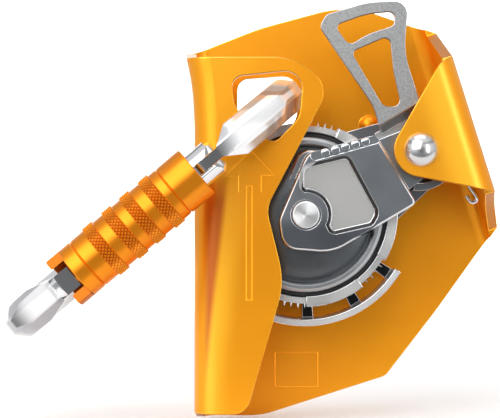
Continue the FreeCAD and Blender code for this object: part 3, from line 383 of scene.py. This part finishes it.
def ground_facet_reflections(recipe):
    """The connector's lower bar: painted reflections, a pale facet on grey, with painted shade
    towards its end; the facet is wider where it meets the nose. The nose and the back keep the
    forging's own tone."""
    length, across, depth = on_connector(recipe, FACET_END)
    widening = recipe.math("ADD", recipe.times(length, facet_widening), facet_end_half)
    half = recipe.math("MINIMUM", widening, facet_half)
    within = recipe.minus(half, recipe.math("ABSOLUTE", across))
    inside = recipe.times(recipe.rise(within, *facet_edge), recipe.rise(length, *facet_start),
                          recipe.fade(depth, *facet_depths))
    # Painted shade towards the facet's end
    shade = recipe.times(inside, recipe.fade(length, *facet_dark))
    nose = recipe.math("MAXIMUM",
                       recipe.rise(length, nose_start - nose_soft, nose_start + nose_soft),
                       recipe.rise(depth, *nose_depths))
    # Painted reflections: the pale facet on the grey bar
    bar = recipe.blend(inside, tint(bar_reflection_grey), tint(facet_reflection_grey))
    tone = recipe.blend(nose, bar, recipe.now("Base Color"))
    shine = recipe.math("MINIMUM", recipe.now("Metallic"),
                        recipe.ramp(nose, 0.0, 1.0, bar_reflection_shine, 1.0))
    recipe.set(Base_Color=recipe.blend(shade, tone, tint(facet_shade_black)), Metallic=shine)


def forged_metal():
    """The connector's polished forging, with a painted highlight at the eye and painted
    reflections and painted shade on its ground facets.
    """
    recipe = metal("polished_forging", (0.80, 0.81, 0.83), (0.74, 0.75, 0.77), rough=0.10,
                   grain=260.0, grain_depth=0.008 * mm, patch=35.0, rough_spread=0.03)
    # Painted highlight at the eye
    banded(recipe, recipe.place()[0], start=eye_start, soft=eye_soft, colour=eye_highlight_grey,
           shine=eye_highlight_shine)
    eye_side_reflection(recipe)
    ground_facet_reflections(recipe)
    return recipe.material


def rubber():
    """The seal round the hub cover."""
    recipe = Recipe("black_seal")
    patches = recipe.noise(400.0, 3.0)
    recipe.set(Base_Color=recipe.blend(patches, tint((0.006, 0.006, 0.007)),
                                       tint((0.02, 0.02, 0.022))),
               Roughness=recipe.ramp(patches, 0.3, 0.7, 0.42, 0.6))
    recipe.bump(recipe.noise(1800.0), 0.5, 0.01 * mm)
    return recipe.material


orange = sheet_metal()
# The frame's rounded edges: a lighter, yellower orange as a painted highlight
orange_edge_highlight = metal("orange_edge_painted_highlight", (1.0, 0.50, 0.03), (0.96, 0.42, 0.02), rough=0.22,
                    patch=40.0, rough_spread=0.04, shine=0.75).material
sleeve_orange = knurl_metal()
forged = forged_metal()
arm_steel = arm_metal()
rear_steel = rear_metal()
cover_steel = cover_metal()
pin_face = pin_metal()
satin_rim = turned("satin_rim", (0.78, 0.78, 0.77), (0.68, 0.68, 0.67), rough=0.34,
                   centre=WHEEL).material
steel_edge = metal("polished_edge", (0.80, 0.82, 0.84), (0.70, 0.72, 0.74), rough=0.16,
                   patch=80.0).material
lever_steel = metal("blasted_steel", (0.52, 0.52, 0.52), (0.33, 0.34, 0.35), rough=0.36,
                    grain=1500.0, grain_depth=0.025 * mm, patch=2100.0, shine=0.85).material
lever_edge = metal("tumbled_edge", (0.50, 0.50, 0.51), (0.40, 0.40, 0.41), rough=0.20,
                   patch=80.0).material
bright_steel = metal("bright_steel", (0.78, 0.79, 0.80), (0.70, 0.71, 0.72), rough=0.14,
                     patch=70.0).material
rivet_steel = metal("rivet_steel", (0.66, 0.665, 0.67), (0.60, 0.605, 0.61), rough=0.20,
                    patch=70.0, rough_spread=0.03, shine=0.96).material
guard_steel = metal("guard_steel", (0.86, 0.87, 0.88), (0.78, 0.79, 0.80), rough=0.22,
                    shine=0.55).material
spring_steel = metal("spring_steel", (0.70, 0.70, 0.71), (0.58, 0.58, 0.60),
                     rough=0.21).material
bronze = metal("bronze", (0.52, 0.30, 0.12), (0.42, 0.23, 0.08), rough=0.35).material
seal = rubber()


# Finish of the frame's own nodes: angles in degrees

smooth_angle = 32.0
bevel_angle = 40.0
flat_angle = 0.5


def smooth_group():
    """Shades faces smooth, apart from edges sharper than the angle."""
    group = bpy.data.node_groups.new("smooth_by_angle", "GeometryNodeTree")
    for way in ("INPUT", "OUTPUT"):
        group.interface.new_socket("Geometry", in_out=way, socket_type="NodeSocketGeometry")
    start = group.nodes.new("NodeGroupInput")
    end = group.nodes.new("NodeGroupOutput")
    angle = group.nodes.new("GeometryNodeInputMeshEdgeAngle")
    test = group.nodes.new("FunctionNodeCompare")
    test.operation = "LESS_THAN"
    test.inputs["B"].default_value = math.radians(smooth_angle)
    faces = group.nodes.new("GeometryNodeSetShadeSmooth")
    edges = group.nodes.new("GeometryNodeSetShadeSmooth")
    edges.domain = "EDGE"
    link = group.links.new
    link(start.outputs[0], faces.inputs["Geometry"])
    link(angle.outputs["Unsigned Angle"], test.inputs["A"])
    link(faces.outputs["Geometry"], edges.inputs["Geometry"])
    link(test.outputs["Result"], edges.inputs["Shade Smooth"])
    link(edges.outputs["Geometry"], end.inputs[0])
    return group


smooth_by_angle = smooth_group()


def smoothed(thing):
    """Adds the smoothing by angle to an object."""
    thing.modifiers.new("smooth_by_angle", "NODES").node_group = smooth_by_angle


def dress(names, material, edge=None, width=0.0, segments=2, weld_gap=0.002 * mm):
    """Gives nodes a material and, with a width, rounded edges with a material of their own; on
    the frame that is a painted highlight.
    """
    for name in names:
        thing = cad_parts[name]
        thing.data.materials.clear()
        thing.data.materials.append(material)
        if "custom_normal" in thing.data.attributes:
            thing.data.attributes.remove(thing.data.attributes["custom_normal"])
        weld = thing.modifiers.new("weld", "WELD")
        weld.merge_threshold = weld_gap
        if width:
            thing.data.materials.append(edge)
            flat = thing.modifiers.new("flat_faces", "DECIMATE")
            flat.decimate_type = "DISSOLVE"
            flat.angle_limit = math.radians(flat_angle)
            bevel = thing.modifiers.new("rounded_edges", "BEVEL")
            bevel.width = width
            bevel.segments = segments
            bevel.limit_method = "ANGLE"
            bevel.angle_limit = math.radians(bevel_angle)
            bevel.use_clamp_overlap = False
            bevel.material = 1
            bevel.harden_normals = False
        smoothed(thing)
        if width:
            flats = thing.modifiers.new("flat_faces_stay_flat", "WEIGHTED_NORMAL")
            flats.keep_sharp = True


dress(["frame_shell"], orange, orange_edge_highlight, width=0.26 * mm, weld_gap=0.30 * mm)
dress(["arm_axle"], rivet_steel)
dress(["front_washer", "rear_spacer", "gate_rivet", "gate_plunger"], bright_steel)
dress(["arm_front"], arm_steel, steel_edge, width=0.12 * mm)
dress(["arm_rear", "arm_bridge"], rear_steel, steel_edge, width=0.20 * mm)
dress(["pivot_barrel", "thrust_washer", "wheel_bush"], bronze)
dress(["wheel_axle"], pin_face)
dress(["hub_cover"], cover_steel)
dress(["cover_seal"], seal)
dress(["ratchet_ring", "cover_dowels", "pawl_a", "pawl_b", "pawl_pins", "spring_posts"],
      lever_steel)
dress(["wheel_guard"], guard_steel, steel_edge, width=0.25 * mm)
dress(["wheel_rim"], satin_rim, steel_edge, width=0.20 * mm)
dress(["toothed_band"], bright_steel)
dress(["catch_lever"], lever_steel, lever_edge, width=0.22 * mm)
dress(["arm_return_spring", "catch_spring", "pawl_springs", "gate_spring", "sleeve_spring"],
      spring_steel)
dress(["connector_body", "gate"], forged)
dress(["sleeve_guide_ring"], lever_steel)
dress(["locking_sleeve"], sleeve_orange)


# Pieces added to the frame

same_place = 0.0005 * mm


def new_piece(name, points, faces, material, body):
    """A piece that rides on a body."""
    mesh = bpy.data.meshes.new(name)
    mesh.from_pydata(points, [], faces)
    mesh.update()
    mesh.materials.append(material)
    piece = bpy.data.objects.new(name, mesh)
    bpy.context.scene.collection.objects.link(piece)
    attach(piece, body)
    return piece


def joined_rows(rows, columns, closed=True):
    """Faces between rows of points, each row closed on itself unless told otherwise."""
    faces = []
    for n in range(rows - 1):
        for k in range(columns if closed else columns - 1):
            faces.append((n * columns + k, n * columns + (k + 1) % columns,
                          (n + 1) * columns + (k + 1) % columns, (n + 1) * columns + k))
    return faces


def outward(piece):
    """Turns a piece's faces outwards and joins points in the same place."""
    cage = bmesh.new()
    cage.from_mesh(piece.data)
    bmesh.ops.remove_doubles(cage, verts=cage.verts, dist=same_place)
    bmesh.ops.recalc_face_normals(cage, faces=cage.faces)
    cage.to_mesh(piece.data)
    cage.free()


# Knurled sleeve, on the connector's own axes: s runs along it from SLEEVE, and angles about it
# start at the side that OPEN points to

notch_lean = math.radians(8.4)
ALONG = Vector((math.cos(lean), 0, math.sin(lean)))
ACROSS = Vector((-math.sin(lean), 0, math.cos(lean)))
AWAY = Vector((0, 1, 0))
OPEN = ACROSS * math.sin(notch_lean) - AWAY * math.cos(notch_lean)
SIDE = ACROSS * math.cos(notch_lean) + AWAY * math.sin(notch_lean)
guide_s = -7.925 * mm
SLEEVE = GUIDE - ALONG * guide_s
sleeve_bore, sleeve_recess, recess_half = 5.45 * mm, 6.70 * mm, 10.0 * mm
sleeve_radius, sleeve_edge = 7.8 * mm, 0.25 * mm
sleeve_top, sleeve_low, leg_end = 16.3 * mm, -27.1 * mm, -31.6 * mm
notch_front = 3.0 * mm
grip_places = [-16.463 * mm, -9.617 * mm, -3.26 * mm, 3.505 * mm]
groove_places = [-22.90 * mm, 7.905 * mm]
grip_half, grip_slope, groove_half = 1.8 * mm, 0.2 * mm, 0.35 * mm
peak, valley, groove_radius = 8.39 * mm, 7.98 * mm, 7.45 * mm
knurl_columns, knurl_rows, leg_columns = 86, 6, 64
# Share of the sleeve's painted shade on its leg
leg_painted_shade = 0.85


def on_sleeve(s, radius, angle):
    return SLEEVE + ALONG * s + (OPEN * math.cos(angle) + SIDE * math.sin(angle)) * radius


def sleeve_rows():
    """Rows round the sleeve as (s, radius, knurl). knurl is 0 on a plain row, and 1 or -1 says
    which of every two points is raised to the peak."""
    rows = [(sleeve_low, sleeve_radius - sleeve_edge, 0),
            (sleeve_low + sleeve_edge, sleeve_radius, 0)]
    for place in sorted(grip_places + groove_places):
        if place in groove_places:
            rows += [(place - groove_half, sleeve_radius, 0), (place, groove_radius, 0),
                     (place + groove_half, sleeve_radius, 0)]
            continue
        rows.append((place - grip_half, sleeve_radius, 0))
        step = 2 * (grip_half - grip_slope) / (knurl_rows - 1)
        for n in range(knurl_rows):
            rows.append((place - grip_half + grip_slope + n * step, valley, 1 if n % 2 else -1))
        rows.append((place + grip_half, sleeve_radius, 0))
    rows += [(sleeve_top - sleeve_edge, sleeve_radius, 0),
             (sleeve_top, sleeve_radius - sleeve_edge, 0),
             (sleeve_top, sleeve_bore + sleeve_edge, 0),
             (sleeve_top - sleeve_edge, sleeve_bore, 0),
             (recess_half, sleeve_bore, 0), (recess_half, sleeve_recess, 0),
             (-recess_half, sleeve_recess, 0), (-recess_half, sleeve_bore, 0),
             (sleeve_low + sleeve_edge, sleeve_bore, 0),
             (sleeve_low, sleeve_bore + sleeve_edge, 0)]
    rows.append(rows[0])
    return rows


def sleeve_tube():
    """The sleeve's tube; the grip bands are small pyramids, split along their valleys."""
    points, faces, painted_shades = [], [], []
    rows = sleeve_rows()
    for s, radius, knurl in rows:
        for k in range(knurl_columns):
            raised = knurl and (k % 2 == (knurl > 0))
            # Points left in the valleys take the full painted shade
            painted_shades.append(1.0 if knurl and not raised else 0.0)
            angle = 2 * math.pi * k / knurl_columns
            points.append(on_sleeve(s, peak if raised else radius, angle))
    for n in range(len(rows) - 1):
        for k in range(knurl_columns):
            a, b = n * knurl_columns + k, n * knurl_columns + (k + 1) % knurl_columns
            c, d = b + knurl_columns, a + knurl_columns
            if not (rows[n][2] and rows[n + 1][2]):
                faces.append((a, b, c, d))
            elif k % 2 == (rows[n][2] > 0):
                faces += [(a, b, d), (b, c, d)]
            else:
                faces += [(a, b, c), (a, c, d)]
    return points, faces, painted_shades


def sleeve_leg():
    """The leg that reaches over the nose, behind the notch."""
    profile = [(sleeve_low, sleeve_radius), (leg_end + sleeve_edge, sleeve_radius),
               (leg_end, sleeve_radius - sleeve_edge), (leg_end, sleeve_bore + sleeve_edge),
               (leg_end + sleeve_edge, sleeve_bore), (sleeve_low, sleeve_bore)]
    points = []
    for s, radius in profile:
        start = math.acos(notch_front / radius)
        for j in range(leg_columns):
            angle = start + 2 * (math.pi - start) * j / (leg_columns - 1)
            points.append(on_sleeve(s, radius, angle))
    faces = joined_rows(len(profile), leg_columns, closed=False)
    for end in (0, leg_columns - 1):
        faces.append([n * leg_columns + end for n in range(len(profile))])
    return points, faces


def knurled_sleeve():
    """The sleeve in place of the frame's plain one; valley says how much painted shade each
    point has.
    """
    points, faces, painted_shades = sleeve_tube()
    leg_points, leg_faces = sleeve_leg()
    faces += [[len(points) + i for i in face] for face in leg_faces]
    piece = new_piece("knurled_sleeve", points + leg_points, faces, sleeve_orange, "sleeve")
    # Each point's painted shade, most of it on the leg
    painted_shade_share = piece.data.attributes.new("valley", "FLOAT", "POINT")
    painted_shade_share.data.foreach_set("value", painted_shades + [leg_painted_shade] * len(leg_points))
    outward(piece)
    smoothed(piece)
    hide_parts("locking_sleeve")


# Raised outlines on the frame, with corners as (x, z) in millimetres

ridge_foot = 0.01 * mm
mitre_least = 0.3
arrow_head = [(2.92, 6.24), (2.92, 10.9), (-0.68, 10.84), (6.34, 18.0), (12.95, 10.98),
              (9.35, 10.98), (9.35, 6.24)]
arrow_shaft = [(5.19, -24.0), (5.19, 8.06), (6.77, 8.06), (6.77, -24.0)]
panel = [(13.6, -51.3), (13.6, -41.0), (26.3, -41.0), (26.3, -51.3)]


def ridge(name, corners, y, half, height, closed=False):
    """A low ridge along a line in a plate's front face, mitred at its corners."""
    flat = [Vector((x * mm, z * mm)) for x, z in corners]
    points, faces = [], []
    count = len(flat)
    for i, corner in enumerate(flat):
        before = flat[i - 1] if closed or i else None
        after = flat[(i + 1) % count] if closed or i < count - 1 else None
        ways = [(corner - before).normalized()] if before is not None else []
        ways += [(after - corner).normalized()] if after is not None else []
        normals = [Vector((-way.y, way.x)) for way in ways]
        mitre = sum(normals, Vector((0, 0))).normalized()
        mitre = mitre * half / max(mitre_least, mitre.dot(normals[0]))
        for side, rise in ((1, -ridge_foot), (0, height), (-1, -ridge_foot)):
            place = corner + mitre * side
            points.append((place.x, y - rise, place.y))
    for i in range(count if closed else count - 1):
        a, b = 3 * i, 3 * ((i + 1) % count)
        faces += [(a, b, b + 1, a + 1), (a + 1, b + 1, b + 2, a + 2)]
    new_piece(name, points, faces, orange, "frame")


# Wire end of the arm's return spring

wire_columns = 12
HOOK_END, HOOK_WAY = Vector((71.44, -3.08, 5.36)) * mm, Vector((0.56, 0, -0.83)).normalized()
hook_radius, hook_tail, hook_overlap, hook_steps = 1.15 * mm, 1.6 * mm, 0.5 * mm, 12
hook_wire = 0.62 * mm


def wire(name, path, radius, material, body):
    """A round wire along a path of points."""
    points = []
    for i, place in enumerate(path):
        way = (path[min(i + 1, len(path) - 1)] - path[max(i - 1, 0)]).normalized()
        first = way.cross(AWAY).normalized()
        second = way.cross(first)
        for k in range(wire_columns):
            turn = 2 * math.pi * k / wire_columns
            points.append(place + (first * math.cos(turn) + second * math.sin(turn)) * radius)
    faces = joined_rows(len(path), wire_columns)
    for start in (0, (len(path) - 1) * wire_columns):
        faces.append([start + k for k in range(wire_columns)])
    piece = new_piece(name, points, faces, material, body)
    outward(piece)
    smoothed(piece)


def spring_hook():
    """The spring's leg, turned back at its end into an open loop."""
    left = Vector((HOOK_WAY.z, 0, -HOOK_WAY.x))
    middle = HOOK_END + left * hook_radius
    path = [HOOK_END - HOOK_WAY * hook_overlap]
    for i in range(hook_steps + 1):
        turn = math.pi * i / hook_steps
        path.append(middle - left * hook_radius * math.cos(turn)
                    + HOOK_WAY * hook_radius * math.sin(turn))
    path.append(path[-1] - HOOK_WAY * hook_tail)
    wire("spring_hook", path, hook_wire, spring_steel, "frame")


knurled_sleeve()
ridge("arrow_head", arrow_head, flange_front, half=0.22 * mm, height=0.080 * mm)
ridge("arrow_shaft", arrow_shaft, flange_front, half=0.20 * mm, height=0.060 * mm, closed=True)
ridge("panel", panel, back_front, half=0.24 * mm, height=0.080 * mm, closed=True)
spring_hook()


# Stage, in metres. The tent's greys are given by the part of the ray's direction, along Y and
# along Z

floor_drop = 1.0 * mm
sweep_front, sweep_back, sweep_half, sweep_height = -0.09, 1.4, 0.45, 2.4
sweep_round, sweep_steps = 0.7, 16
tent_strength = 1.15
tent_depths = [(-1.0, 0.14), (-0.98, 0.26), (-0.92, 0.58), (-0.84, 0.9), (-0.50, 0.9),
               (0.0, 0.66), (1.0, 0.70)]
tent_heights = [(-1.0, 0.18), (-0.55, 0.24), (-0.30, 0.50), (-0.05, 0.9), (0.45, 1.0),
                (0.56, 0.35), (0.64, 0.45), (0.72, 1.0), (1.0, 1.0)]
camera_place = (6.26 * mm, -550 * mm, 1.6 * mm)
camera_lens, camera_sensor, camera_nearest = 136.62, 36.0, 0.01


def stage():
    """A pale sweep: floor in front, wall behind, joined by a round."""
    floor_z = cad_box[0][2] - floor_drop
    profile = [(sweep_front, floor_z)]
    for i in range(sweep_steps + 1):
        turn = math.radians(90 * i / sweep_steps)
        profile.append((sweep_back - sweep_round + sweep_round * math.sin(turn),
                        floor_z + sweep_round - sweep_round * math.cos(turn)))
    profile.append((sweep_back, floor_z + sweep_height))
    points, faces = [], []
    for i, (y, z) in enumerate(profile):
        points += [(-sweep_half, y, z), (sweep_half, y, z)]
        if i:
            faces.append((2 * i - 2, 2 * i - 1, 2 * i + 1, 2 * i))
    mesh = bpy.data.meshes.new("sweep")
    mesh.from_pydata(points, [], faces)
    mesh.shade_smooth()
    recipe = Recipe("sweep_paper")
    recipe.set(Base_Color=recipe.blend(recipe.noise(3.0), tint((0.93, 0.93, 0.93)),
                                       tint((0.95, 0.95, 0.95))), Roughness=0.9)
    mesh.materials.append(recipe.material)
    sweep = bpy.data.objects.new("sweep", mesh)
    bpy.context.scene.collection.objects.link(sweep)


def soft_light(name, place, aim, size, power):
    """A rectangular light at a place, turned to what it lights."""
    lamp = bpy.data.lights.new(name, "AREA")
    lamp.shape = "RECTANGLE"
    lamp.size, lamp.size_y = size
    lamp.energy = power
    holder = bpy.data.objects.new(name, lamp)
    holder.location = place
    holder.rotation_euler = (Vector(aim) - Vector(place)).to_track_quat("-Z", "Y").to_euler()
    bpy.context.scene.collection.objects.link(holder)


def world_ramp(tree, value, stops):
    """A grey level for a part of the ray's direction; each stop is (part, grey)."""
    half = tree.nodes.new("ShaderNodeMapRange")
    half.inputs["From Min"].default_value = -1.0
    half.inputs["From Max"].default_value = 1.0
    tree.links.new(value, half.inputs["Value"])
    ramp = tree.nodes.new("ShaderNodeValToRGB")
    tree.links.new(half.outputs["Result"], ramp.inputs["Fac"])
    elements = ramp.color_ramp.elements
    while len(elements) < len(stops):
        elements.new(0.5)
    for element, (part, grey) in zip(elements, stops):
        element.position = (part + 1) / 2
        element.color = (grey, grey, grey, 1)
    return ramp.outputs["Color"]


def studio_world():
    """White behind the object; what lights it is a light tent, darker straight in front, where
    it opens, and below."""
    world = bpy.data.worlds.new("studio")
    bpy.context.scene.world = world
    world.use_nodes = True
    tree = world.node_tree
    back = tree.nodes["Background"]
    back.inputs["Color"].default_value = (1, 1, 1, 1)
    back.inputs["Strength"].default_value = 1.0
    coords = tree.nodes.new("ShaderNodeTexCoord")
    split = tree.nodes.new("ShaderNodeSeparateXYZ")
    tree.links.new(coords.outputs["Generated"], split.inputs[0])
    both = tree.nodes.new("ShaderNodeMix")
    both.data_type = "RGBA"
    both.blend_type = "MULTIPLY"
    both.inputs[0].default_value = 1.0
    tree.links.new(world_ramp(tree, split.outputs["Y"], tent_depths), both.inputs[6])
    tree.links.new(world_ramp(tree, split.outputs["Z"], tent_heights), both.inputs[7])
    tent = tree.nodes.new("ShaderNodeBackground")
    tent.inputs["Strength"].default_value = tent_strength
    tree.links.new(both.outputs[2], tent.inputs["Color"])
    path = tree.nodes.new("ShaderNodeLightPath")
    mix = tree.nodes.new("ShaderNodeMixShader")
    tree.links.new(path.outputs["Is Camera Ray"], mix.inputs[0])
    tree.links.new(tent.outputs[0], mix.inputs[1])
    tree.links.new(back.outputs[0], mix.inputs[2])
    tree.links.new(mix.outputs[0], tree.nodes["World Output"].inputs["Surface"])


def camera():
    """The photograph's view: straight at the flange, from about half a metre."""
    eye = bpy.data.cameras.new("camera")
    eye.lens = camera_lens
    eye.sensor_width = camera_sensor
    eye.clip_start = camera_nearest
    holder = bpy.data.objects.new("camera", eye)
    holder.location = camera_place
    holder.rotation_euler = (math.radians(90), 0, 0)
    bpy.context.scene.collection.objects.link(holder)
    bpy.context.scene.camera = holder


stage()
studio_world()
soft_light("key", place=(-0.32, -0.60, 0.42), aim=(0.02, 0, 0), size=(0.80, 0.80), power=5.0)
soft_light("fill", place=(0.55, -0.60, 0.10), aim=(0.02, 0, 0), size=(0.25, 0.6), power=1.2)
soft_light("top", place=(0.0, -0.05, 0.70), aim=(0.0, 0, 0), size=(0.6, 0.4), power=1.0)
soft_light("wall", place=(0.0, 0.75, 0.60), aim=(0.0, 1.4, 0.1), size=(1.0, 0.6), power=8.0)
camera()
bpy.context.scene.view_settings.view_transform = "Standard"
